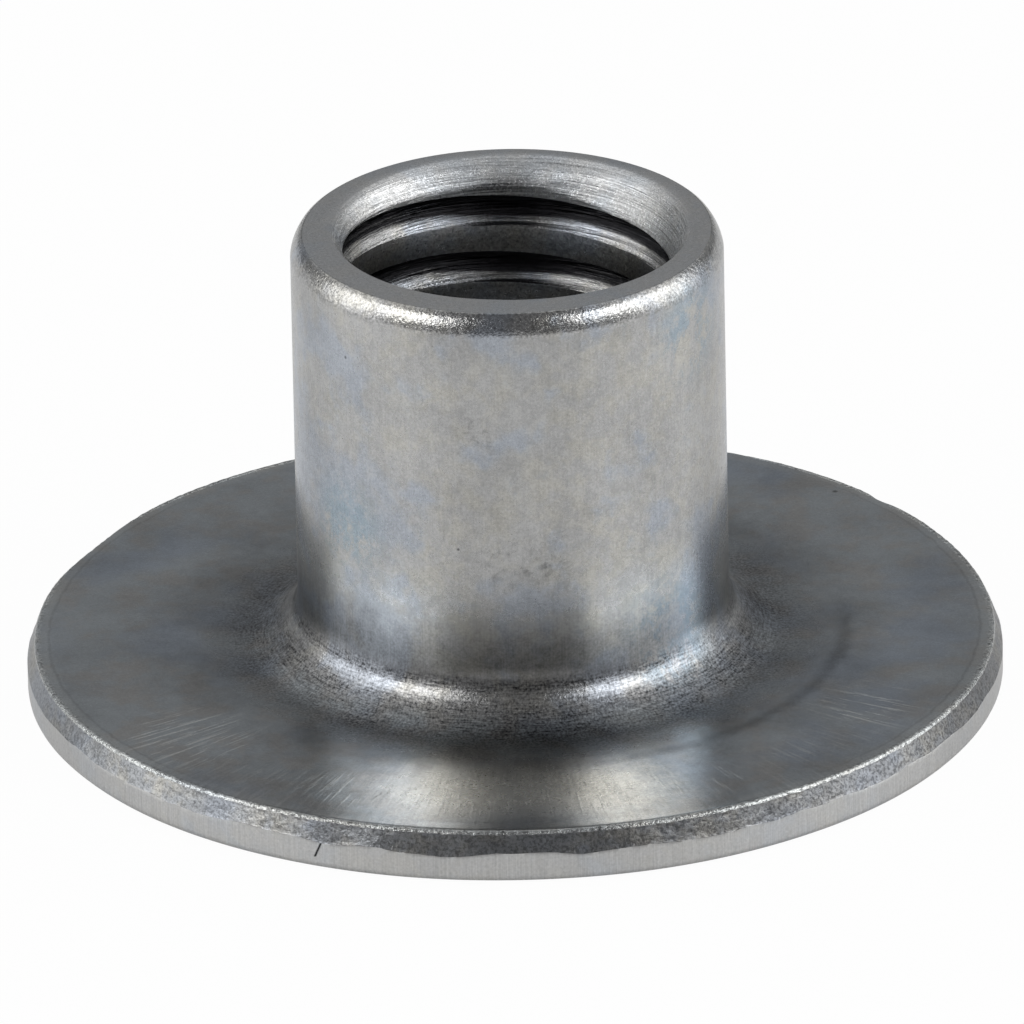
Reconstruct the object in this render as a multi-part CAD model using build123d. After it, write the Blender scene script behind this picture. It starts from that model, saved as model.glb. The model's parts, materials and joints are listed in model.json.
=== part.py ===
from build123d import *
import math
import os

# Round-base weld nut, drawn and tapped in one piece from sheet steel, in millimetres.
# The origin is the centre of the flange's underside, and +Z runs up the barrel.

# Sheet and blank
sheet_thickness = 1.35
flange_diameter = 25.4

# Sheared rim of the flange, from the underside up
die_roll_radius = 0.20  # rounded lower edge, where the blanking punch drew the sheet in
burnish_height = 0.75  # top of the smooth land that the die left
fracture_inset = 0.06  # how far the torn upper part of the rim leans in
rim_bevel = 0.08  # blunted burr along the upper edge

# Barrel drawn up out of the flange
overall_height = 12.65
barrel_diameter = 11.2
bend_radius = 1.5  # hollow curve between flange and barrel
coin_ring_diameter = 17.4  # ring that the drawing die pressed around the bend
coin_depth = 0.03

# Mouth of the barrel
crown_radius = 0.75  # rounded outer edge
crown_inset = 0.27  # how far in the flat end cuts that curve off

# Bore, at the crests of the thread
bore_diameter = 8.5
countersink_diameter = 9.45
countersink_angle = 60.0
countersink_shift_x = 0.15  # the countersink was cut a little off the barrel's axis
countersink_shift_y = 0.20
cut_overrun = 1.0

flange_radius = flange_diameter / 2
barrel_radius = barrel_diameter / 2
bore_radius = bore_diameter / 2
coin_ring_radius = coin_ring_diameter / 2
mouth_radius = bend_radius + sheet_thickness  # underside of the same bend
coin_height = sheet_thickness - coin_depth
bend_start = barrel_radius + bend_radius
crown_sweep = math.degrees(math.acos(1 - crown_inset / crown_radius))
crown_drop = crown_radius * math.sin(math.radians(crown_sweep))
crown_start = overall_height - crown_drop

# The countersink is the end of a full cone, whose point lies on its own shifted axis.
countersink_slope = math.tan(math.radians(countersink_angle / 2))
cone_height = countersink_diameter / 2 / countersink_slope + cut_overrun
cone_radius = cone_height * countersink_slope
cone_point = (countersink_shift_x, countersink_shift_y, overall_height + cut_overrun - cone_height)


def half_section():
    """Half of the nut's section: sheared rim, drawn bend, rounded crown and trumpet-shaped mouth."""
    with BuildSketch(Plane.XZ) as section:
        with BuildLine():
            underside = Line((bore_radius + mouth_radius, 0), (flange_radius - die_roll_radius, 0))
            die_roll = JernArc(underside @ 1, (1, 0), die_roll_radius, 90)
            burnish = Line(die_roll @ 1, (flange_radius, burnish_height))
            rim_radius = flange_radius - fracture_inset
            fracture = Line(burnish @ 1, (rim_radius, sheet_thickness - rim_bevel))
            rim_edge = Line(fracture @ 1, (rim_radius - rim_bevel, sheet_thickness))
            flange_top = Line(rim_edge @ 1, (coin_ring_radius, sheet_thickness))
            coin_step = Line(flange_top @ 1, (coin_ring_radius - coin_depth, coin_height))
            coin_floor = Line(coin_step @ 1, (bend_start, coin_height))
            bend = JernArc(coin_floor @ 1, (-1, 0), bend_radius, -90)
            wall = Line(bend @ 1, (barrel_radius, crown_start))
            crown = JernArc(wall @ 1, (0, 1), crown_radius, crown_sweep)
            end_land = Line(crown @ 1, (bore_radius, overall_height))
            bore = Line(end_land @ 1, (bore_radius, mouth_radius))
            JernArc(bore @ 1, (0, -1), mouth_radius, 90)
        make_face()
    return section.sketch


def weld_nut():
    """The whole nut: the section turned about its axis, with the off-centre countersink cut."""
    with BuildPart() as nut:
        add(half_section())
        revolve(axis=Axis.Z)
        with Locations(cone_point):
            Cone(
                bottom_radius=0,
                top_radius=cone_radius,
                height=cone_height,
                align=(Align.CENTER, Align.CENTER, Align.MIN),
                mode=Mode.SUBTRACT,
            )
    nut.part.label = "weld_nut"
    return nut.part


os.makedirs("parts", exist_ok=True)
export_step(weld_nut(), "parts/weld_nut.step")
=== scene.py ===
import json
import logging
import math
from dataclasses import dataclass, field
from enum import Enum
from typing import Any, Mapping, Optional, Union

import bpy
import numpy as np
from mathutils import Matrix, Vector


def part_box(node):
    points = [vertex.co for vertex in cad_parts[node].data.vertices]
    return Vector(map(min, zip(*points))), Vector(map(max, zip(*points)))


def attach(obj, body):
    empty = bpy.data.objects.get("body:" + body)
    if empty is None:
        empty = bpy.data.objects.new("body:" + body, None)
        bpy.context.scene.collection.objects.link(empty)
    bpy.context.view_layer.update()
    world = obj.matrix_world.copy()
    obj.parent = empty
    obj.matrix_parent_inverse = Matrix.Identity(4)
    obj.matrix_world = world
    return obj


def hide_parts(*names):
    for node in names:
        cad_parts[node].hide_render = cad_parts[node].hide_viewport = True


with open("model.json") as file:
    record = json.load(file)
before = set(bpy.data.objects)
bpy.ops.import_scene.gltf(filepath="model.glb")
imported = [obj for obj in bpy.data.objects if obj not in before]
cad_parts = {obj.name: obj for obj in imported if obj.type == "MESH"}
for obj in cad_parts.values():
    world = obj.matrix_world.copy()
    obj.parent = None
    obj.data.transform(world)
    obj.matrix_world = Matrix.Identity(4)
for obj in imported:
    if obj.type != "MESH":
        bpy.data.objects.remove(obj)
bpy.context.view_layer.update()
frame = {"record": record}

# Round-base weld nut, drawn and tapped from one disc of sheet steel and zinc plated.
# Sizes are in millimetres in the frame of the CAD model, with +Z up the barrel and the underside at 0.

LOG = logging.getLogger("weld_nut")
MM = 0.001
NODE = "weld_nut"
SEGMENTS = 720
ANGLES = np.linspace(0.0, 2.0 * math.pi, SEGMENTS, endpoint=False)
QUARTER_TURN = math.pi / 2

Colour = tuple[float, float, float]
Number = Union[float, np.ndarray]


class Zone(Enum):
    """The stretches of the nut's skin, each left by its own tool. The value is its material slot."""

    UNDERSIDE = 0
    LAND = 1
    TEAR = 2
    SKIN = 3
    TURNED = 4
    BORE = 5
    THREAD = 6


class Shade:
    """A shader socket that takes part in sums: each operator adds one Math node to its board."""

    def __init__(self, board: "Board", socket: Optional[bpy.types.NodeSocket]) -> None:
        """Keeps the socket and the board that it belongs to."""
        self.board = board
        self.socket = socket

    def __add__(self, other: "Term") -> "Shade":
        """Adds a value."""
        return self.board.math("ADD", self, other)

    def __radd__(self, other: "Term") -> "Shade":
        """Adds itself to a value."""
        return self.board.math("ADD", other, self)

    def __sub__(self, other: "Term") -> "Shade":
        """Takes a value away."""
        return self.board.math("SUBTRACT", self, other)

    def __rsub__(self, other: "Term") -> "Shade":
        """Takes itself away from a value."""
        return self.board.math("SUBTRACT", other, self)

    def __mul__(self, other: "Term") -> "Shade":
        """Multiplies by a value."""
        return self.board.math("MULTIPLY", self, other)

    def __rmul__(self, other: "Term") -> "Shade":
        """Multiplies a value by itself."""
        return self.board.math("MULTIPLY", other, self)

    def __truediv__(self, other: "Term") -> "Shade":
        """Divides by a value."""
        return self.board.math("DIVIDE", self, other)

    def __rtruediv__(self, other: "Term") -> "Shade":
        """Divides a value by itself."""
        return self.board.math("DIVIDE", other, self)

    def __abs__(self) -> "Shade":
        """Drops the sign."""
        return self.board.math("ABSOLUTE", self)

    def step(self, low: float, high: float) -> "Shade":
        """Runs smoothly from 0 at one value to 1 at another, which may be the lower one.

        Args:
            low: Value that gives 0.
            high: Value that gives 1.

        Returns:
            The smooth step, between 0 and 1.
        """
        settings = {"interpolation_type": "SMOOTHSTEP"}
        if low > high:
            sockets = {"Value": self, "From Min": high, "From Max": low, "To Min": 1.0, "To Max": 0.0}
        else:
            sockets = {"Value": self, "From Min": low, "From Max": high}
        return self.board.add("ShaderNodeMapRange", settings, sockets)

    def band(self, middle: float, half: float) -> "Shade":
        """Is 1 at a middle value and falls smoothly to 0 at a distance of half on both sides."""
        return abs(self - middle).step(half, 0.0)


Term = Union[Shade, float, int]


class Board:
    """The node board of a material or of the world: adds nodes, sets them and links them."""

    def __init__(self, owner: Union[bpy.types.Material, bpy.types.World], output: str) -> None:
        """Clears the board of a material or a world.

        Args:
            owner: The material or world that the board belongs to.
            output: Blender's type of its output node.
        """
        self.owner = owner
        self.output = output
        self.tree = owner.node_tree
        self.tree.nodes.clear()

    @classmethod
    def of_material(cls, name: str) -> "Board":
        """Makes a new material.

        Args:
            name: The material's name.

        Returns:
            Its empty board.
        """
        material = bpy.data.materials.new(name)
        material.use_nodes = True
        return cls(material, "ShaderNodeOutputMaterial")

    def add(
        self,
        kind: str,
        settings: Optional[Mapping[str, Any]] = None,
        sockets: Optional[Mapping[Union[str, int], Any]] = None,
        out: Union[str, int] = 0,
    ) -> Shade:
        """Adds one node.

        Args:
            kind: Blender's type of node.
            settings: Settings of the node itself, which are set first.
            sockets: Values or links of its inputs, by name or number.
            out: The output that is handed on, by name or number.

        Returns:
            The chosen output, with no socket where the node has none.
        """
        node = self.tree.nodes.new(kind)
        for key, value in (settings or {}).items():
            setattr(node, key, value)
        for key, value in (sockets or {}).items():
            if isinstance(value, Shade):
                self.tree.links.new(value.socket, node.inputs[key])
            else:
                node.inputs[key].default_value = value
        return Shade(self, node.outputs[out] if node.outputs else None)

    def math(self, operation: str, *terms: Term) -> Shade:
        """Adds a Math node for one operation on values."""
        return self.add("ShaderNodeMath", {"operation": operation}, dict(enumerate(terms)))

    def clip(self, value: Shade) -> Shade:
        """Keeps a value between 0 and 1."""
        return self.add("ShaderNodeClamp", {}, {"Value": value})

    def vector(self, x: Term, y: Term, z: Term) -> Shade:
        """Puts three values together as a vector."""
        return self.add("ShaderNodeCombineXYZ", {}, {"X": x, "Y": y, "Z": z})

    def noise(self, where: Shade, scale: float, detail: float = 2.0, roughness: float = 0.5) -> Shade:
        """Samples soft noise.

        Args:
            where: Vector at which it is sampled.
            scale: How many features fit in one unit of that vector.
            detail: Octaves of finer noise.
            roughness: How strong the finer octaves are.

        Returns:
            The noise, around 0.5.
        """
        sockets = {"Vector": where, "Scale": scale, "Detail": detail, "Roughness": roughness}
        return self.add("ShaderNodeTexNoise", {}, sockets)

    def blend(self, first: Any, second: Any, factor: Term) -> Shade:
        """Mixes two colours.

        Args:
            first: Colour at factor 0.
            second: Colour at factor 1.
            factor: Share of the second colour.

        Returns:
            The mixed colour.
        """
        colours = [c if isinstance(c, Shade) else (*c, 1.0) for c in (first, second)]
        sockets = {0: factor, 6: colours[0], 7: colours[1]}
        return self.add("ShaderNodeMix", {"data_type": "RGBA"}, sockets, out=2)

    def finish(self, shader: Shade) -> None:
        """Links a shader to the board's output."""
        self.add(self.output, {}, {"Surface": shader})


@dataclass(frozen=True)
class Mark:
    """A small spot on the nut: its place, how far it reaches, and the share of that where it is full."""

    spot: tuple[float, float, float]
    reach: float
    full: float = 0.3


class Place:
    """Where a point of the nut lies, in millimetres about the axis, for its finishes to use."""

    def __init__(self, board: Board) -> None:
        """Works the coordinates out once for one material.

        Args:
            board: Node board of that material.
        """
        self.board = board
        metres = board.add("ShaderNodeTexCoord", out="Object")
        scaling = {0: metres, "Scale": 1.0 / MM}
        self.point = board.add("ShaderNodeVectorMath", {"operation": "SCALE"}, scaling)
        self.x = board.add("ShaderNodeSeparateXYZ", {}, {0: self.point}, out="X")
        self.y = board.add("ShaderNodeSeparateXYZ", {}, {0: self.point}, out="Y")
        self.z = board.add("ShaderNodeSeparateXYZ", {}, {0: self.point}, out="Z")
        self.radius = board.math("SQRT", self.x * self.x + self.y * self.y)

    def along(self, lines: float, length: float) -> Shade:
        """Gives a vector in which noise is drawn out away from the axis and up the barrel.

        Args:
            lines: How many features fit in one radian around the axis.
            length: How many features fit in a millimetre of radius or height.

        Returns:
            The vector.
        """
        turn = lines / self.radius
        rise = (self.z + self.radius) * length
        return self.board.vector(self.x * turn, self.y * turn, rise)

    def round(self, lines: float, turns: float, lean: float = 1.0) -> Shade:
        """Gives a vector in which noise is drawn out around the axis, as turning marks are.

        Args:
            lines: How many lines fit in a millimetre of radius or height.
            turns: How many features fit in one radian around the axis.
            lean: How the height counts: 1 where the surface rises outwards, -1 where it falls.

        Returns:
            The vector.
        """
        turn = turns / self.radius
        return self.board.vector(self.x * turn, self.y * turn, (self.z * lean + self.radius) * lines)

    def near(self, marks: tuple[Mark, ...]) -> Shade:
        """Is 1 at each of some marks and falls smoothly to 0 at the edge of its reach.

        Args:
            marks: The marks, at least one.

        Returns:
            The mask.
        """
        masks = []
        for mark in marks:
            sockets = {0: self.point, 1: mark.spot}
            gap = self.board.add("ShaderNodeVectorMath", {"operation": "DISTANCE"}, sockets, out="Value")
            masks.append(gap.step(mark.reach, mark.reach * mark.full))
        return self.board.clip(sum(masks[1:], masks[0]))


@dataclass(frozen=True)
class Look:
    """What a finish hands to the shader: colour, roughness, and height in millimetres."""

    colour: Shade
    roughness: Shade
    height: Shade


@dataclass(frozen=True)
class Zinc:
    """Bluish zinc plating on steel, as every surface of the nut has it."""

    name: str = "zinc"
    grey: Colour = (0.50, 0.50, 0.495)
    warm: Colour = (0.53, 0.52, 0.485)
    cool: Colour = (0.465, 0.495, 0.54)
    # Dark tone for dirt, and in some finishes for painted shade.
    dark_tone: Colour = (0.022, 0.022, 0.024)
    roughness: float = 0.30
    grain_roughness: float = 0.3
    haze: float = 0.15
    fleck: float = 0.55

    def blotches(self, board: Board, place: Place) -> Shade:
        """Soft blotches of warm and cool plating.

        Args:
            board: Node board of the material.
            place: Coordinates on the nut.

        Returns:
            The plating's colour.
        """
        cloud = board.noise(place.point, 0.36, 3.0, 0.55)
        patch = board.noise(place.point, 1.3, 3.0, 0.6)
        warmed = board.blend(self.grey, self.warm, patch.step(0.40, 0.62))
        return board.blend(warmed, self.cool, (cloud + patch * 0.5).step(0.72, 0.90))

    def darkened(self, board: Board, place: Place, darkening: Shade) -> Shade:
        """Lays the dark tone over the blotches, as far as the share says, from 0 to 1, for dirt and
        painted shade.
        """
        return board.blend(self.blotches(board, place), self.dark_tone, board.clip(darkening))

    def speckle(self, board: Board, place: Place) -> Shade:
        """Fine grain of the plating, about 0 on average."""
        return board.noise(place.point, 15.0, 3.0, 0.65) - 0.5

    def look(self, board: Board, place: Place) -> Look:
        """Works out the surface from the tool that left it.

        Args:
            board: Node board of the material.
            place: Coordinates on the nut.

        Returns:
            Its colour, roughness and height.
        """
        speckle = self.speckle(board, place)
        colour = self.darkened(board, place, self.haze + speckle * self.fleck)
        return Look(colour, self.roughness + speckle * self.grain_roughness, speckle * 0.004)

    def paint(self) -> bpy.types.Material:
        """Makes the material.

        Returns:
            The material, ready for its slot.
        """
        board = Board.of_material(self.name)
        look = self.look(board, Place(board))
        bump = board.add("ShaderNodeBump", {}, {"Strength": 1.0, "Distance": MM, "Height": look.height})
        sockets = {
            "Base Color": look.colour,
            "Metallic": 1.0,
            "Roughness": board.clip(look.roughness),
            "Normal": bump,
        }
        board.finish(board.add("ShaderNodeBsdfPrincipled", {}, sockets))
        return board.owner


@dataclass(frozen=True)
class SkinParts:
    """Masks, from 0 to 1, of the places on the drawn skin that look different.

    What lies within the bend's reach is inner, the flange and the bend's lower half are low, and the
    curl is the bend without its top. The collar is painted shade in the bend's hollow and on the flange
    around it, the foot is the barrel's lowest stretch, darkened with painted shade, the lip is the burr's
    edge, ahead is the front of the flange, darkened with painted shade, and rubbing is painted sheen on
    it.
    """

    flange: Shade
    low: Shade
    inner: Shade
    curl: Shade
    collar_shade: Shade
    foot: Shade
    crown: Shade
    crown_edge: Shade
    lip: Shade
    seam: Shade
    arc: Shade
    ahead: Shade
    front_sheen: Shade


@dataclass(frozen=True)
class SkinGrain:
    """Noises of the drawn skin, from fine grain to wide waves, and the lines along and around it."""

    speckle: Shade
    grain: Shade
    mottle: Shade
    wave: Shade
    lines: Shade
    rings: Shade
    scratch: Shade


@dataclass(frozen=True)
class DrawnSkin(Zinc):
    """Outside of the flange, bend, barrel and crown, as the drawing die left it."""

    name: str = "drawn_skin"
    slate: Colour = (0.47, 0.50, 0.515)
    umber: Colour = (0.505, 0.50, 0.485)
    steel: Colour = (0.43, 0.475, 0.53)
    pale: Colour = (0.72, 0.73, 0.70)
    # Paler colour of the painted sheen on the flange's front.
    sheen_colour: Colour = (0.90, 0.88, 0.81)
    bluish: Colour = (0.39, 0.49, 0.57)
    roughness: float = 0.27
    rim_radius: float = 12.7
    barrel_radius: float = 5.6
    bend_width: float = 1.4
    bend_top: float = 2.8
    crown_start: float = 12.07
    arc_radius: float = 8.6
    scuff_radius: float = 10.9
    scuffs: tuple[Mark, ...] = (
        Mark((-8.4, -6.3, 1.35), 2.4),
        Mark((9.0, -5.2, 1.35), 1.9),
        Mark((-4.2, -9.6, 1.35), 1.3),
        Mark((3.4, -9.8, 1.35), 1.3),
    )
    blooms: tuple[Mark, ...] = (
        Mark((-4.3, -3.6, 6.1), 1.7),
        Mark((4.1, -3.9, 2.9), 2.2),
        Mark((4.7, -3.0, 11.1), 1.8),
    )
    smudges: tuple[Mark, ...] = (
        Mark((-0.2, -5.6, 5.8), 1.0),
        Mark((0.9, -5.5, 5.6), 0.7),
        Mark((-0.9, -5.5, 9.4), 0.8),
    )
    # Spot on the right of the barrel's foot where its painted shade is mostly lifted, so that side reads
    # lighter.
    foot_unshaded: tuple[Mark, ...] = (Mark((4.9, -2.7, 3.2), 2.0),)
    specks: tuple[Mark, ...] = (
        Mark((-4.2, -3.7, 10.8), 0.06),
        Mark((5.45, -1.3, 6.4), 0.07),
        Mark((-1.4, -5.42, 6.1), 0.05),
        Mark((8.5, 8.3, 1.35), 0.10),
    )

    def bend_out(self) -> float:
        """Radius at which the bend's own look ends."""
        return self.barrel_radius + self.bend_width

    def parts(self, board: Board, place: Place) -> SkinParts:
        """Marks the places that look different, most of them with uneven edges.

        Args:
            board: Node board of the material.
            place: Coordinates on the nut.

        Returns:
            Their masks.
        """
        jitter = board.noise(place.point, 2.5, 2.0) - 0.5
        sideways = abs(place.x)
        low = (place.z + jitter * 0.2).step(self.bend_top - 0.65, self.bend_top - 1.1)
        inner = place.radius.step(self.bend_out() + 1.4, self.bend_out() - 0.4)
        # Painted shade on the barrel's lowest stretch, above the bend, fading upwards.
        foot = (place.z + jitter * 0.5).step(self.bend_top + 1.8, self.bend_top)
        foot = foot * place.z.step(self.bend_top - 0.80, self.bend_top - 0.50)
        edge = (self.crown_start - 0.07, self.crown_start + 0.10)
        seam = (place.radius + jitter * 0.15).band(self.rim_radius - 0.60, 0.07)
        arc = (place.radius + jitter * 0.3).band(self.arc_radius, 0.35)
        # Front of the flange: painted shade there, and more radial streaks.
        ahead = (place.y + jitter * 1.5).step(-6.9, -9.6)
        across = (sideways + jitter * 1.5).step(5.0, 2.2)
        return SkinParts(
            flange=(place.radius + jitter * 0.4).step(self.barrel_radius + 0.35, self.barrel_radius + 0.9),
            low=low,
            inner=inner,
            curl=place.z.step(self.bend_top - 0.2, self.bend_top - 0.6) * inner,
            # Painted shade in the hollow of the bend and on the flange just outside it.
            collar_shade=(place.radius + jitter * 1.2).step(self.bend_out() + 3.6, self.bend_out()) * low,
            foot=foot * (1.0 - place.near(self.foot_unshaded) * 0.9),
            crown=(place.z + jitter * 0.12).step(*edge),
            crown_edge=place.z.step(*edge),
            lip=place.radius.step(self.rim_radius - 0.42, self.rim_radius - 0.30),
            seam=seam * sideways.step(7.0, 10.0),
            arc=arc * place.x.step(0.0, 4.0) * place.y.step(2.5, -1.0),
            ahead=ahead,
            # Painted sheen: two paler patches on the flange's front, where the bend's highlight is
            # reflected.
            front_sheen=ahead * across * place.radius.step(13.0, 10.3),
        )

    def grain(self, board: Board, place: Place) -> SkinGrain:
        """Samples the noises that the looks of all parts share.

        Args:
            board: Node board of the material.
            place: Coordinates on the nut.

        Returns:
            The noises, most of them about 0 on average.
        """
        lines = board.noise(place.along(115.0, 0.55), 1.0, 3.0, 0.65) - 0.5
        rings = board.noise(place.round(15.0, 11.0, -1.0), 1.0, 2.0, 0.6) - 0.5
        scuffed = place.radius.band(self.scuff_radius, 1.7) * place.y.step(-5.0, -8.0)
        return SkinGrain(
            speckle=self.speckle(board, place),
            grain=board.noise(place.point, 9.0, 3.0, 0.7),
            mottle=board.noise(place.point, 3.2, 5.0, 0.76) - 0.5,
            wave=board.noise(place.point, 0.55, 2.0),
            lines=lines,
            rings=rings * place.radius.step(self.bend_out() + 0.3, self.bend_out() - 0.7),
            scratch=lines.step(0.03, 0.14) * board.clip(scuffed * 0.45 + place.near(self.scuffs)),
        )

    def flange_colour(self, board: Board, place: Place, front_sheen: Shade) -> Shade:
        """Slate-grey flange with bluish and brownish clouds, a paler border and a paler front, which is
        painted sheen.

        Args:
            board: Node board of the material.
            place: Coordinates on the nut.
            front_sheen: Mask of the paler front, a painted sheen.

        Returns:
            The flange's colour.
        """
        wide = board.noise(place.point, 0.30, 3.0, 0.6)
        fine = board.noise(place.point, 1.1, 2.0, 0.55)
        brown = board.blend(self.slate, self.umber, fine.step(0.42, 0.66))
        blue = board.blend(brown, self.steel, wide.step(0.48, 0.68))
        border = (place.radius + (wide - 0.5) * 0.5).step(self.rim_radius - 0.75, self.rim_radius - 0.45)
        bordered = board.blend(blue, self.pale, border * 0.30)
        return board.blend(bordered, self.sheen_colour, front_sheen)

    def plating(self, board: Board, place: Place, parts: SkinParts, grain: SkinGrain) -> Shade:
        """Colours the clean plating, with bluish blooms on the barrel, bright scratches and the painted
        sheen on the flange's front.

        Args:
            board: Node board of the material.
            place: Coordinates on the nut.
            parts: Masks of the skin's parts.
            grain: The skin's noises.

        Returns:
            The plating's colour.
        """
        bloom = place.near(self.blooms) * (grain.mottle + grain.wave).step(0.35, 0.60)
        skin = board.blend(self.blotches(board, place), self.bluish, bloom * 0.8)
        skin = board.blend(skin, self.flange_colour(board, place, parts.front_sheen), parts.flange)
        return board.blend(skin, self.pale, board.clip(grain.scratch * 0.7 + parts.lip * 0.25))

    def darkening(self, place: Place, parts: SkinParts, grain: SkinGrain) -> Shade:
        """Adds up how dark the skin is: dirt, and painted shade in the bend's hollow, on the barrel's foot
        and on the flange's front.

        Args:
            place: Coordinates on the nut.
            parts: Masks of the skin's parts.
            grain: The skin's noises.

        Returns:
            The share of the dark tone, which may pass 0 and 1.
        """
        fine = 0.55 - parts.flange * 0.13 + parts.front_sheen * 0.6 + parts.curl * 0.95
        fine = fine + parts.crown * 1.4 + parts.lip * 0.8
        patchy = 0.55 + parts.crown * 0.3 - parts.flange * 0.2 - parts.low * parts.inner * 0.2
        cloudy = 0.35 + parts.flange * 0.25
        lined = 0.22 + parts.foot * 0.08 - parts.flange * 0.15 + parts.ahead * 0.5
        darkening = self.haze + grain.speckle * fine + grain.mottle * patchy
        darkening = darkening + (grain.wave - 0.5) * cloudy + grain.lines * lined
        darkening = darkening + grain.rings * parts.curl * 0.9 + grain.grain.step(0.50, 0.38) * parts.lip * 0.4
        darkening = darkening + parts.seam * 0.15 + parts.arc * 0.22 + parts.curl * 0.18 + parts.crown * 0.10
        # Painted shade in the bend's hollow, on the barrel's foot and on the flange's front, less on its
        # painted sheen.
        darkening = darkening + parts.collar_shade * 0.34 + parts.foot * 0.40 + parts.ahead * 0.16 - parts.front_sheen * 0.30
        smudge = grain.mottle.step(0.0, 0.20) * place.near(self.smudges)
        return darkening + place.near(self.specks) * 0.6 + smudge * 0.26 - grain.scratch * 0.2

    def look(self, board: Board, place: Place) -> Look:
        """Grainy crown, streaky bend, draw lines on the barrel and fine scratches on the flange.

        Args:
            board: Node board of the material.
            place: Coordinates on the nut.

        Returns:
            Its colour, roughness and height.
        """
        parts = self.parts(board, place)
        grain = self.grain(board, place)
        plating = self.plating(board, place, parts, grain)
        colour = board.blend(plating, self.dark_tone, board.clip(self.darkening(place, parts, grain)))
        roughness = self.roughness - parts.flange * 0.03 - parts.crown_edge * 0.07 + grain.mottle * 0.12
        roughness = roughness + parts.low * parts.inner * 0.16 + parts.foot * 0.06 + parts.front_sheen * 0.03
        coarse = 0.0012 + parts.front_sheen * 0.004 + parts.crown_edge * 0.016 + parts.curl * 0.010
        height = grain.grain * (coarse + parts.lip * 0.035) + grain.wave * 0.010
        height = height + grain.lines * 0.0010 + grain.rings * parts.curl * 0.002 + grain.scratch * 0.003
        return Look(colour, roughness, height)


@dataclass(frozen=True)
class ShearedLand(Zinc):
    """Smooth lower part of the rim, scored upwards by the blanking die, with a fibre stuck to it."""

    name: str = "sheared_land"
    grey: Colour = (0.58, 0.58, 0.575)
    warm: Colour = (0.595, 0.59, 0.57)
    cool: Colour = (0.565, 0.58, 0.595)
    roughness: float = 0.34
    fibre_x: float = -5.03
    fibre_top: float = 0.8
    fibre_lean: float = 0.4
    fibre_half: float = 0.05

    def fibre(self, place: Place) -> Shade:
        """Marks the dark fibre on the front of the rim.

        Args:
            place: Coordinates on the nut.

        Returns:
            Its mask.
        """
        leaning = place.x + (self.fibre_top - place.z) * self.fibre_lean
        front = place.y.step(0.0, -1.0)
        return leaning.band(self.fibre_x, self.fibre_half) * place.z.step(0.30, 0.36) * front

    def look(self, board: Board, place: Place) -> Look:
        """Fine upright scores, and a duller lower edge.

        Args:
            board: Node board of the material.
            place: Coordinates on the nut.

        Returns:
            Its colour, roughness and height.
        """
        scores = board.noise(place.along(330.0, 0.6), 1.0, 3.0, 0.6) - 0.5
        speckle = self.speckle(board, place)
        low = place.z.step(0.22, 0.04)
        darkening = self.haze + scores * 0.45 + speckle * 0.45 + low * 0.2 + self.fibre(place)
        roughness = self.roughness + speckle * self.grain_roughness
        return Look(self.darkened(board, place, darkening), roughness, scores * 0.004 + speckle * 0.003)


@dataclass(frozen=True)
class TornRim(Zinc):
    """Rough upper part of the rim, where the sheet broke away."""

    name: str = "torn_rim"
    grey: Colour = (0.43, 0.445, 0.46)
    roughness: float = 0.31
    haze: float = 0.40

    def look(self, board: Board, place: Place) -> Look:
        """Granular break with dark pits, darker to the right and lighter far to the left.

        Args:
            board: Node board of the material.
            place: Coordinates on the nut.

        Returns:
            Its colour, roughness and height.
        """
        grain = board.noise(place.point, 12.0, 4.0, 0.7)
        lumps = board.noise(place.point, 4.5, 3.0, 0.6)
        pits = grain.step(0.58, 0.38)
        uneven = place.x.step(1.0, 7.0) * 0.12 - place.x.step(-7.0, -10.0) * 0.08
        colour = self.darkened(board, place, self.haze + pits * 0.30 + uneven)
        return Look(colour, self.roughness + (lumps - 0.5) * 0.2, grain * 0.009 + lumps * 0.009)


@dataclass(frozen=True)
class TurnedFace(Zinc):
    """Flat end and countersink, with circular turning marks."""

    name: str = "turned_face"
    grey: Colour = (0.63, 0.635, 0.635)
    warm: Colour = (0.65, 0.645, 0.63)
    cool: Colour = (0.60, 0.625, 0.65)
    top: float = 12.65

    def look(self, board: Board, place: Place) -> Look:
        """Turning marks and painted shade low on the +Y side of the countersink, fine matt grain on the
        flat end.

        Args:
            board: Node board of the material.
            place: Coordinates on the nut.

        Returns:
            Its colour, roughness and height.
        """
        sunk = place.z.step(self.top - 0.005, self.top - 0.05)
        lines = board.noise(place.round(15.0, 1.2), 1.0, 4.0, 0.7) - 0.5
        speckle = self.speckle(board, place)
        # Painted shade: a darker patch low on the +Y side of the countersink, about its middle.
        far_shade = (place.x + lines * 3.0).band(-0.15, 2.0) * place.y.step(0.0, 2.0)
        far_shade = far_shade * (place.z + lines * 0.3).step(self.top - 0.34, self.top - 0.50)
        darkening = self.haze + lines * (0.15 + sunk * 1.8) + speckle * 1.1 + far_shade * 0.55
        roughness = self.roughness + speckle * self.grain_roughness
        height = lines * (0.001 + sunk * 0.022) + speckle * (0.005 + sunk * 0.006)
        return Look(self.darkened(board, place, darkening), roughness, height)


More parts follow.
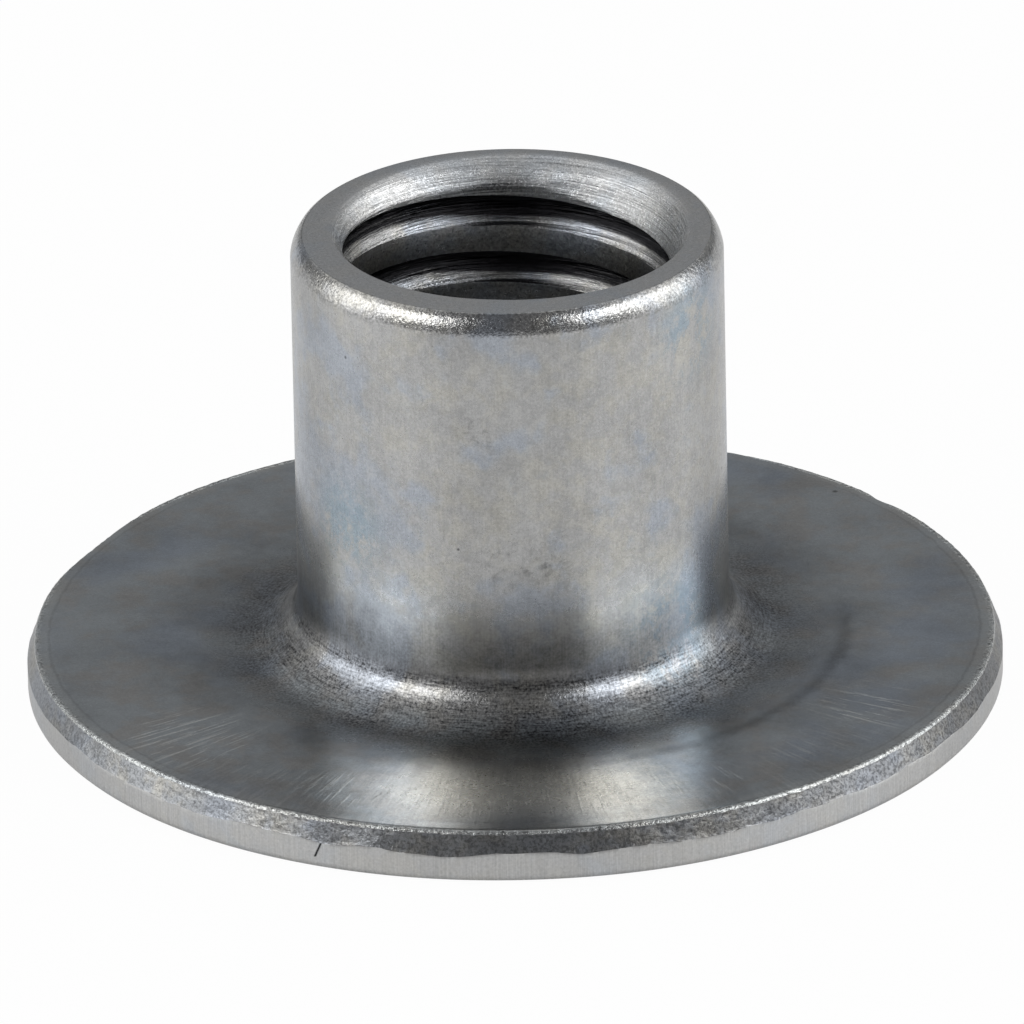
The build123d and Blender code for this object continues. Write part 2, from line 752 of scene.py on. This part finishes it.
@dataclass(frozen=True)
class TappedFlank(Zinc):
    """Flanks of the thread, with the fine lines that the tap cut."""

    name: str = "tapped_flank"
    roughness: float = 0.20
    haze: float = 0.24
    crest_radius: float = 4.25

    def look(self, board: Board, place: Place) -> Look:
        """Long fine lines around the bore, with painted shade in the root and on the +Y side.

        Args:
            board: Node board of the material.
            place: Coordinates on the nut.

        Returns:
            Its colour, roughness and height.
        """
        lines = board.noise(place.round(9.0, 0.6), 1.0, 4.0, 0.65) - 0.5
        speckle = self.speckle(board, place)
        # Painted shade in the root of the groove, where the lines are also weaker.
        root_shade = place.radius.step(self.crest_radius + 0.10, self.crest_radius + 0.22)
        # Painted shade: a darker stripe on the +Y side of the thread, about its middle.
        far_shade = place.x.band(-0.15, 2.2) * place.y.step(0.0, 2.0)
        darkening = self.haze + lines * (2.4 - root_shade * 1.2) + speckle * 0.5 + root_shade * 0.80 + far_shade * 0.60
        roughness = self.roughness + speckle * self.grain_roughness
        return Look(self.darkened(board, place, darkening), roughness, lines * 0.050 + speckle * 0.008)


@dataclass(frozen=True)
class BoreWall(Zinc):
    """Drawn inner wall that is left on the thread's crests."""

    name: str = "bore_wall"
    haze: float = 0.42

    def look(self, board: Board, place: Place) -> Look:
        """Dull pitted wall.

        Args:
            board: Node board of the material.
            place: Coordinates on the nut.

        Returns:
            Its colour, roughness and height.
        """
        pits = board.noise(place.point, 6.0, 4.0, 0.7) - 0.5
        speckle = self.speckle(board, place)
        colour = self.darkened(board, place, self.haze + pits + speckle * 1.2)
        return Look(colour, self.roughness + pits * 0.2, pits * 0.010 + speckle * 0.008)


def stations(first: float, last: float, marks: tuple[int, ...]) -> np.ndarray:
    """Spaces rings out between two values, so that they can lie closer where the shading turns.

    Args:
        first: Value at mark 0.
        last: Value at the highest mark.
        marks: Rising marks on an even scale, the highest one last.

    Returns:
        The value at each mark.
    """
    return first + (last - first) * np.array(marks) / marks[-1]


@dataclass(frozen=True)
class Ripple:
    """Waviness around the axis: harmonics with seeded sizes and phases, weaker as they get finer."""

    height: float
    lowest: int
    highest: int
    fall: float
    seed: int

    def around(self) -> np.ndarray:
        """Gives the waviness at each angle of the mesh.

        Returns:
            One value for each angle, at most the height on either side of 0.
        """
        draw = np.random.default_rng(self.seed)
        counts = np.arange(self.lowest, self.highest + 1)
        sizes = draw.normal(size=counts.size) * (counts / self.lowest) ** -self.fall
        phases = draw.uniform(0.0, 2.0 * math.pi, counts.size)
        wave = (sizes[:, None] * np.cos(counts[:, None] * ANGLES + phases[:, None])).sum(axis=0)
        wave = wave / np.abs(wave).max()
        return self.height * wave


@dataclass(frozen=True)
class Dent:
    """A knock in the flange's outline: where it is and how wide, in degrees, and how deep."""

    angle: float
    width: float
    depth: float

    def around(self) -> np.ndarray:
        """Gives the knock's depth at each angle of the mesh."""
        gap = np.degrees(np.angle(np.exp(1j * (ANGLES - math.radians(self.angle)))))
        return self.depth * np.exp(-((gap / self.width) ** 2))


@dataclass
class Ring:
    """One loop of points around the axis, with the zone of the strip that leads up to it."""

    zone: Zone
    radius: Number
    height: Number

    def points(self) -> np.ndarray:
        """Gives the loop's points in metres.

        Returns:
            One row of x, y and z for each angle.
        """
        radius = np.broadcast_to(self.radius, ANGLES.shape)
        height = np.broadcast_to(self.height, ANGLES.shape)
        return np.stack([radius * np.cos(ANGLES), radius * np.sin(ANGLES), height], axis=1) * MM


@dataclass
class Flange:
    """Round base of the nut: underside, sheared rim, and top face in to the ring around the bend.

    The burr's start is in degrees from upright.
    """

    radius: float
    thickness: float
    die_roll: float = 0.20
    land_top: float = 0.78
    tear_step: float = 0.006
    tear_rise: float = 0.01
    tear_inset: float = 0.19
    tear_grain: float = 0.014
    tear_grain_least: float = 0.003
    burr: float = 0.09
    burr_start: float = 20.0
    burr_hollow: float = 0.012
    coin_radius: float = 8.7
    coin_width: float = 0.6
    coin_depth: float = 0.03
    outline: Ripple = Ripple(0.020, 2, 14, 0.7, 11)
    tear_line: Ripple = Ripple(0.085, 8, 60, 0.7, 12)
    tear_nicks: Ripple = Ripple(0.018, 60, 300, 0.3, 15)
    burr_line: Ripple = Ripple(0.024, 40, 320, 0.15, 13)
    dents: tuple[Dent, ...] = (Dent(152.0, 9.0, 0.12), Dent(38.5, 2.2, 0.10), Dent(62.0, 5.0, 0.06))

    def edge(self) -> np.ndarray:
        """Outline of the rim: nearly round, a little wavy, with a few knocks.

        Returns:
            Its radius at each angle.
        """
        knocks = sum(dent.around() for dent in self.dents)
        return self.radius - self.outline.height + self.outline.around() - knocks

    def underside(self, mouth_edge: float) -> list[Ring]:
        """Lays the flat face that the nut stands on.

        Args:
            mouth_edge: Radius at which the trumpet mouth meets the face.

        Returns:
            Its rings, from the mouth out.
        """
        shares = stations(0.0, 1.0, (0, 1, 6, 7))
        outer = self.edge() - self.die_roll
        return [Ring(Zone.UNDERSIDE, mouth_edge + (outer - mouth_edge) * share, 0.0) for share in shares]

    def land(self, tear: np.ndarray) -> list[Ring]:
        """Lays the rounded lower edge and the smooth land.

        Args:
            tear: Height of the land's upper end at each angle.

        Returns:
            Their rings, from the underside up.
        """
        edge = self.edge()
        rings = []
        for turn in np.linspace(0.0, QUARTER_TURN, 6)[1:]:
            inward = self.die_roll * (1.0 - math.sin(turn))
            rings.append(Ring(Zone.LAND, edge - inward, self.die_roll * (1.0 - math.cos(turn))))
        for share in np.linspace(0.0, 1.0, 6)[1:]:
            rings.append(Ring(Zone.LAND, edge, self.die_roll + (tear - self.die_roll) * share))
        return rings

    def rim(self) -> list[Ring]:
        """Lays the sheared rim: land, torn part and burr.

        Returns:
            Its rings, from the underside up.
        """
        edge = self.edge()
        tear = self.land_top + self.tear_line.around() + self.tear_nicks.around()
        lip = self.burr_line.around()
        foot = tear + self.tear_rise
        top = self.thickness - self.burr + lip
        rings = self.land(tear)
        for share in np.linspace(0.0, 1.0, 8):
            depth = self.tear_grain * math.sin(math.pi * share) + self.tear_grain_least
            chatter = Ripple(depth, 25, 330, 0.1, 20 + int(10 * share)).around()
            inset = self.tear_step + (self.tear_inset - self.tear_step) * share + chatter
            rings.append(Ring(Zone.TEAR, edge - inset, foot + (top - foot) * share))
        for turn in np.linspace(math.radians(self.burr_start), QUARTER_TURN, 5)[1:]:
            inset = self.tear_inset + self.burr * (1.0 - math.cos(turn))
            rise = (self.thickness - top + lip * 0.5) * math.sin(turn)
            rings.append(Ring(Zone.SKIN, edge - inset, top + rise))
        inner = edge - self.tear_inset - self.burr * 2
        rings.append(Ring(Zone.SKIN, inner, self.thickness - self.burr_hollow))
        return rings

    def top(self) -> list[Ring]:
        """Lays the top face and the ring that the drawing die pressed around the bend.

        Returns:
            Its rings, from the rim in.
        """
        outer = self.edge() - self.tear_inset - self.burr * 4
        rings = []
        for share in stations(0.0, 1.0, (0, 1, 4, 8, 12, 13)):
            rings.append(Ring(Zone.SKIN, outer + (self.coin_radius - outer) * share, self.thickness))
        rings.append(Ring(Zone.SKIN, self.coin_radius - self.coin_width, self.thickness - self.coin_depth))
        return rings


@dataclass
class Barrel:
    """Tube drawn up out of the flange: hollow bend at its foot, wall, and rounded crown.

    The crown's tilt is in degrees, and the end stands proud by a share of its rounding.
    """

    radius: float
    top: float
    foot: float
    bend: float = 1.5
    crown_inset: float = 0.27
    crown_drop: float = 0.576
    crown_tilt: float = 8.0
    end_round: float = 0.07
    end_proud: float = 0.25

    def bend_start(self) -> float:
        """Radius at which the bend leaves the flange."""
        return self.radius + self.bend

    def bend_top(self) -> float:
        """Height at which the bend runs into the wall."""
        return self.foot + self.bend

    def crown_start(self) -> float:
        """Height at which the crown leaves the wall."""
        return self.top - self.crown_drop

    def wall(self) -> list[Ring]:
        """Lays the bend and the wall.

        Returns:
            Their rings, from the flange up.
        """
        rings = []
        for turn in np.linspace(0.0, QUARTER_TURN, 21):
            radius = self.bend_start() - self.bend * math.sin(turn)
            rings.append(Ring(Zone.SKIN, radius, self.foot + self.bend * (1.0 - math.cos(turn))))
        for height in stations(self.bend_top(), self.crown_start(), (0, 1, 4, 7, 10, 11))[1:]:
            rings.append(Ring(Zone.SKIN, self.radius, height))
        return rings

    def crown(self) -> list[Ring]:
        """Lays the crown, whose curve starts at a slight edge and ends in a small rounding.

        Returns:
            Its rings, from the wall up.
        """
        first = math.radians(self.crown_tilt)
        last = 2.0 * math.atan(self.crown_inset / self.crown_drop) - first
        sweep = self.crown_drop / (math.sin(last) - math.sin(first))
        rings = []
        for turn in np.linspace(first, last, 9)[1:-1]:
            radius = self.radius - sweep * (math.cos(first) - math.cos(turn))
            height = self.crown_start() + sweep * (math.sin(turn) - math.sin(first))
            rings.append(Ring(Zone.SKIN, radius, height))
        corner = self.radius - self.crown_inset + self.end_round * self.end_proud
        for turn in np.linspace(last, QUARTER_TURN, 5):
            radius = corner - self.end_round * (1.0 - math.cos(turn))
            rings.append(Ring(Zone.SKIN, radius, self.top - self.end_round * (1.0 - math.sin(turn))))
        return rings


@dataclass
class Sink:
    """One conical cut in the mouth of the bore: its radius at the flat end, full angle and offset."""

    radius: float
    angle: float
    shift: tuple[float, float]

    def edge(self) -> np.ndarray:
        """Upper edge of the cut, as a radius about the nut's own axis.

        Returns:
            Its radius at each angle.
        """
        shift_x, shift_y = self.shift
        ahead = shift_x * np.cos(ANGLES) + shift_y * np.sin(ANGLES)
        aside = shift_y * np.cos(ANGLES) - shift_x * np.sin(ANGLES)
        return ahead + np.sqrt(self.radius**2 - aside**2)

    def slope(self) -> float:
        """How far the cut narrows for each millimetre of depth."""
        return math.tan(math.radians(self.angle / 2))


@dataclass
class Bore:
    """Hole through the barrel at the crests of its thread, with countersink and trumpet mouth."""

    radius: float
    top: float
    mouth: float
    sinks: tuple[Sink, ...] = (
        Sink(4.645, 128.0, (0.115, 0.245)),
        Sink(4.50, 60.0, (0.0, 0.10)),
        Sink(4.43, 40.0, (0.275, 0.0)),
    )
    sink_depth: float = 1.35

    def mouth_edge(self) -> float:
        """Radius at which the trumpet mouth meets the underside."""
        return self.radius + self.mouth

    def inside(self) -> list[Ring]:
        """Lays the off-centre cuts of the countersink, the bore's wall and the trumpet mouth.

        Returns:
            Their rings, from the flat end in and down.
        """
        plain = np.full(SEGMENTS, self.radius)
        rings = []
        for depth in stations(0.0, self.sink_depth, (*range(22), 24, 27, 31)):
            cuts = [sink.edge() - sink.slope() * depth for sink in self.sinks]
            rings.append(Ring(Zone.TURNED, np.maximum.reduce([*cuts, plain]), self.top - depth))
        for height in stations(self.top - self.sink_depth, self.mouth, (0, 2, 5, 7, 8))[1:]:
            rings.append(Ring(Zone.BORE, self.radius, height))
        for turn in np.linspace(0.0, QUARTER_TURN, 11)[1:-1]:
            radius = self.radius + self.mouth * (1.0 - math.cos(turn))
            rings.append(Ring(Zone.UNDERSIDE, radius, self.mouth * (1.0 - math.sin(turn))))
        return rings


@dataclass
class Tap:
    """Right-hand tap that cuts the thread: a V with a flat, swept up a helix.

    The section's corners are radius and height from the middle of the groove, from its foot up. The
    groove passes its height at its angle, in degrees. At its upper end it fades to a share of its
    depth, over a part of a turn.
    """

    pitch: float = 25.4 / 16
    core_radius: float = 3.9
    core_foot: float = -0.90
    core_head: float = 0.45
    lower_flank: tuple[tuple[float, float], ...] = ((4.25, -0.60), (4.36, -0.38), (4.48, -0.23))
    root_radius: float = 4.70
    root_half: float = 0.08
    upper_flank: tuple[tuple[float, float], ...] = ((4.25, 0.27),)
    steps: int = 180
    start_height: float = -1.2
    end_height: float = 12.10
    end_fade: float = 0.10
    end_depth: float = 0.4
    groove_height: float = 11.52
    groove_angle: float = 90.0

    def section(self) -> list[tuple[float, float]]:
        """Gives the corners of the tap's section.

        Returns:
            Radius and height of each, from the foot of the core round to its head.
        """
        return [
            (self.core_radius, self.core_foot),
            *self.lower_flank,
            (self.root_radius, -self.root_half),
            (self.root_radius, self.root_half),
            *self.upper_flank,
            (self.core_radius, self.core_head),
        ]

    def points(self) -> np.ndarray:
        """Sweeps the section up the helix, with a depth that fades over the last part of a turn.

        Returns:
            The points in metres, by step, corner and axis.
        """
        first = (self.start_height - self.groove_height) / self.pitch
        last = (self.end_height - self.groove_height) / self.pitch
        turn = np.linspace(first, last, int(round((last - first) * self.steps)))
        angle = math.radians(self.groove_angle) + 2.0 * math.pi * turn
        middle = self.groove_height + self.pitch * turn
        depth = self.end_depth + (1.0 - self.end_depth) * np.clip((last - turn) / self.end_fade, 0.0, 1.0)
        rows = []
        for corner, rise in self.section():
            radius = self.core_radius + (corner - self.core_radius) * depth
            rows.append(np.stack([radius * np.cos(angle), radius * np.sin(angle), middle + rise], axis=1))
        return np.stack(rows, axis=1) * MM

    def cutter(self) -> bpy.types.Object:
        """Makes the swept solid.

        Returns:
            The cutter, which is taken out of the nut and thrown away.
        """
        points = self.points()
        count, sides, _ = points.shape
        faces: list[tuple[int, ...]] = [tuple(range(sides))]
        for step in range(count - 1):
            low, high = sides * step, sides * (step + 1)
            for corner in range(sides):
                after = (corner + 1) % sides
                faces.append((low + corner, high + corner, high + after, low + after))
        last = sides * (count - 1)
        faces.append(tuple(last + corner for corner in reversed(range(sides))))
        mesh = bpy.data.meshes.new("tap")
        mesh.from_pydata(points.reshape(-1, 3).tolist(), [], faces)
        mesh.polygons.foreach_set("material_index", [Zone.THREAD.value] * len(faces))
        tap = bpy.data.objects.new("tap", mesh)
        bpy.context.scene.collection.objects.link(tap)
        return tap


def mount(name: str) -> Mapping[str, Any]:
    """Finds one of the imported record's mounts by its name."""
    return next(entry for entry in frame["record"]["mounts"] if entry["name"] == name)


@dataclass
class WeldNut:
    """The whole nut: flange, barrel and bore as one closed skin, with the thread cut out of it."""

    flange: Flange
    barrel: Barrel
    bore: Bore
    tap: Tap = field(default_factory=Tap)
    sharp_angle: float = 32.0

    @classmethod
    def from_frame(cls) -> "WeldNut":
        """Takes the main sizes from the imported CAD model.

        Returns:
            The nut, ready to build.
        """
        low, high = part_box(NODE)
        thickness = mount("flange_top")["pos_m"][2] / MM
        flange = Flange((high[0] - low[0]) / 2 / MM, thickness)
        top = high[2] / MM
        barrel = Barrel(mount("barrel")["dims"]["r_mm"], top, thickness - flange.coin_depth)
        bore = Bore(mount("thread")["dims"]["r_mm"], top, barrel.bend + thickness)
        return cls(flange, barrel, bore)

    def rings(self) -> list[Ring]:
        """Lines up the rings of all parts.

        Returns:
            The rings, from the trumpet mouth out, up, in and down to the mouth again.
        """
        return [
            *self.flange.underside(self.bore.mouth_edge()),
            *self.flange.rim(),
            *self.flange.top(),
            *self.barrel.wall(),
            *self.barrel.crown(),
            *self.bore.inside(),
        ]

    def skin(self) -> bpy.types.Object:
        """Makes the closed skin before the thread is cut.

        Returns:
            The nut with a plain bore.
        """
        rings = self.rings()
        points = np.concatenate([ring.points() for ring in rings])
        here = np.arange(SEGMENTS)
        after = np.roll(here, -1)
        faces, slots = [], []
        for index, ring in enumerate(rings):
            low = (index - 1) % len(rings) * SEGMENTS
            high = index * SEGMENTS
            faces.append(np.stack([low + here, low + after, high + after, high + here], axis=1))
            slots += [ring.zone.value] * SEGMENTS
        mesh = bpy.data.meshes.new(NODE + "_skin")
        mesh.from_pydata(points.tolist(), [], np.concatenate(faces).tolist())
        mesh.polygons.foreach_set("material_index", slots)
        nut = bpy.data.objects.new(NODE + "_visual", mesh)
        bpy.context.scene.collection.objects.link(nut)
        return nut

    def build(self) -> bpy.types.Object:
        """Builds the skin and cuts the thread.

        Returns:
            The finished mesh object.
        """
        nut = self.skin()
        tap = self.tap.cutter()
        self.dress(nut, tap)
        cut = nut.modifiers.new("thread", "BOOLEAN")
        cut.operation = "DIFFERENCE"
        cut.solver = "MANIFOLD"
        cut.object = tap
        graph = bpy.context.evaluated_depsgraph_get()
        plain = nut.data
        nut.data = bpy.data.meshes.new_from_object(nut.evaluated_get(graph))
        nut.modifiers.clear()
        bpy.data.meshes.remove(plain)
        bpy.data.objects.remove(tap)
        nut.data.shade_smooth()
        nut.data.set_sharp_from_angle(angle=math.radians(self.sharp_angle))
        return nut

    def finishes(self) -> dict[Zone, Zinc]:
        """Chooses the finish of each zone, at this nut's own sizes.

        Returns:
            The finish of each zone.
        """
        skin = DrawnSkin(
            rim_radius=self.flange.radius,
            barrel_radius=self.barrel.radius,
            bend_top=self.barrel.bend_top(),
            crown_start=self.barrel.crown_start(),
        )
        return {
            Zone.UNDERSIDE: Zinc(name="underside"),
            Zone.LAND: ShearedLand(),
            Zone.TEAR: TornRim(),
            Zone.SKIN: skin,
            Zone.TURNED: TurnedFace(top=self.barrel.top),
            Zone.BORE: BoreWall(),
            Zone.THREAD: TappedFlank(crest_radius=self.bore.radius),
        }

    def dress(self, *meshes: bpy.types.Object) -> None:
        """Fills material slots, one for each zone.

        Args:
            meshes: Mesh objects whose faces already name their zones.
        """
        finishes = self.finishes()
        for zone in Zone:
            material = finishes[zone].paint()
            for piece in meshes:
                piece.data.materials.append(material)


@dataclass
class Softbox:
    """Oblong lamp with an even soft face that looks at the nut. Sizes in metres, angles in degrees."""

    name: str
    azimuth: float
    elevation: float
    radiance: float
    width: float
    height: float
    distance: float = 0.60

    def hang(self) -> bpy.types.Object:
        """Hangs the lamp.

        Returns:
            The lamp.
        """
        lamp = bpy.data.lights.new(self.name, "AREA")
        lamp.shape = "RECTANGLE"
        lamp.size = self.width
        lamp.size_y = self.height
        lamp.energy = math.pi * self.width * self.height * self.radiance
        turn, rise = math.radians(self.azimuth), math.radians(self.elevation)
        away = Vector((math.sin(turn) * math.cos(rise), -math.cos(turn) * math.cos(rise), math.sin(rise)))
        softbox = bpy.data.objects.new(self.name, lamp)
        softbox.location = away * self.distance
        softbox.rotation_euler = away.to_track_quat("Z", "Y").to_euler()
        bpy.context.scene.collection.objects.link(softbox)
        return softbox


@dataclass
class Viewpoint:
    """Long-lens camera that looks along +Y, down on the nut and slightly rolled. Sizes in millimetres."""

    lens: float = 907.8
    sensor: float = 36.0
    distance: float = 669.8
    elevation: float = 24.29
    roll: float = -1.11
    target: float = 4.445
    rise: float = 0.217

    def stand(self) -> bpy.types.Object:
        """Stands the camera and makes it the scene's own.

        Returns:
            The camera.
        """
        tilt = math.radians(self.elevation)
        ahead = Vector((0.0, math.cos(tilt), -math.sin(tilt)))
        up = Vector((0.0, math.sin(tilt), math.cos(tilt)))
        aim = Vector((0.0, 0.0, self.target)) + up * self.rise
        data = bpy.data.cameras.new("viewpoint")
        data.lens = self.lens
        data.sensor_width = self.sensor
        camera = bpy.data.objects.new("viewpoint", data)
        level = Matrix((ahead.cross(up), up, -ahead)).transposed()
        turned = level @ Matrix.Rotation(math.radians(self.roll), 3, "Z")
        camera.matrix_world = Matrix.Translation((aim - ahead * self.distance) * MM) @ turned.to_4x4()
        bpy.context.scene.collection.objects.link(camera)
        bpy.context.scene.camera = camera
        return camera


@dataclass
class Studio:
    """White table under six softboxes, in a room that is dimmer in front than behind. Sizes in metres."""

    floor_radius: float = 3.0
    floor_sides: int = 96
    floor_drop: float = 0.00003
    floor_colour: Colour = (0.78, 0.78, 0.78)
    floor_roughness: float = 0.35
    floor_glow: float = 0.97
    mirror_glow: float = 0.35
    room_front: Colour = (0.17, 0.17, 0.175)
    room_back: Colour = (0.27, 0.275, 0.283)
    room_change: tuple[float, float] = (-0.6, 0.7)
    lamps: tuple[Softbox, ...] = (
        Softbox("key_left", -54.0, 32.0, 4.0, 0.31, 0.25),
        Softbox("key_right", 57.0, 32.0, 4.0, 0.31, 0.25),
        Softbox("side_left", -90.0, 21.0, 2.0, 0.42, 0.42),
        Softbox("side_right", 93.0, 21.0, 2.35, 0.42, 0.42),
        Softbox("rear_left", -124.0, 54.0, 0.7, 0.60, 0.40),
        Softbox("rear_right", 124.0, 54.0, 0.7, 0.60, 0.40),
    )

    def floor_finish(self) -> bpy.types.Material:
        """Makes the table's white, which is clear from beneath.

        Returns:
            The material.
        """
        board = Board.of_material("white_table")
        sockets = {"Base Color": (*self.floor_colour, 1.0), "Roughness": self.floor_roughness}
        matt = board.add("ShaderNodeBsdfPrincipled", {}, sockets)
        glow = board.add("ShaderNodeEmission", {}, {"Color": (1.0, 1.0, 1.0, 1.0), "Strength": 1.0})
        seen = board.add("ShaderNodeLightPath", out="Is Camera Ray")
        mirrored = board.add("ShaderNodeLightPath", out="Is Glossy Ray")
        through = board.add("ShaderNodeLightPath", out="Is Transmission Ray")
        share = board.clip(seen + through) * self.floor_glow + mirrored * self.mirror_glow
        white = board.add("ShaderNodeMixShader", {}, {0: share, 1: matt, 2: glow})
        beneath = board.add("ShaderNodeNewGeometry", out="Backfacing")
        clear = board.add("ShaderNodeBsdfTransparent")
        board.finish(board.add("ShaderNodeMixShader", {}, {0: beneath, 1: white, 2: clear}))
        return board.owner

    def floor(self) -> bpy.types.Object:
        """Lays the round table top.

        Returns:
            The floor.
        """
        turn = np.linspace(0.0, 2.0 * math.pi, self.floor_sides, endpoint=False)
        across = np.stack([np.cos(turn), np.sin(turn)], axis=1) * self.floor_radius
        edge = np.insert(across, 2, -self.floor_drop, axis=1)
        mesh = bpy.data.meshes.new("table")
        mesh.from_pydata(edge.tolist(), [], [tuple(range(self.floor_sides))])
        mesh.materials.append(self.floor_finish())
        table = bpy.data.objects.new("table", mesh)
        bpy.context.scene.collection.objects.link(table)
        return table

    def light(self) -> None:
        """Hangs the lamps and sets the dim room around them."""
        for lamp in self.lamps:
            lamp.hang()
        world = bpy.data.worlds.new("dim_room")
        world.use_nodes = True
        board = Board(world, "ShaderNodeOutputWorld")
        direction = board.add("ShaderNodeTexCoord", out="Generated")
        behind = board.add("ShaderNodeSeparateXYZ", {}, {0: direction}, out="Y")
        colour = board.blend(self.room_front, self.room_back, behind.step(*self.room_change))
        board.finish(board.add("ShaderNodeBackground", {}, {"Color": colour, "Strength": 1.0}))
        bpy.context.scene.world = world


def main() -> None:
    """Builds the nut, the studio and the camera."""
    logging.basicConfig(level=logging.INFO)
    bpy.context.scene.view_settings.view_transform = "Standard"
    nut = WeldNut.from_frame().build()
    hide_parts(NODE)
    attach(nut, "root")
    LOG.info("%s: %d faces", nut.name, len(nut.data.polygons))
    studio = Studio()
    LOG.info("%s laid", studio.floor().name)
    studio.light()
    LOG.info("%d lamps hung", len(studio.lamps))
    LOG.info("%s stands", Viewpoint().stand().name)


if __name__ == "__main__":
    main()
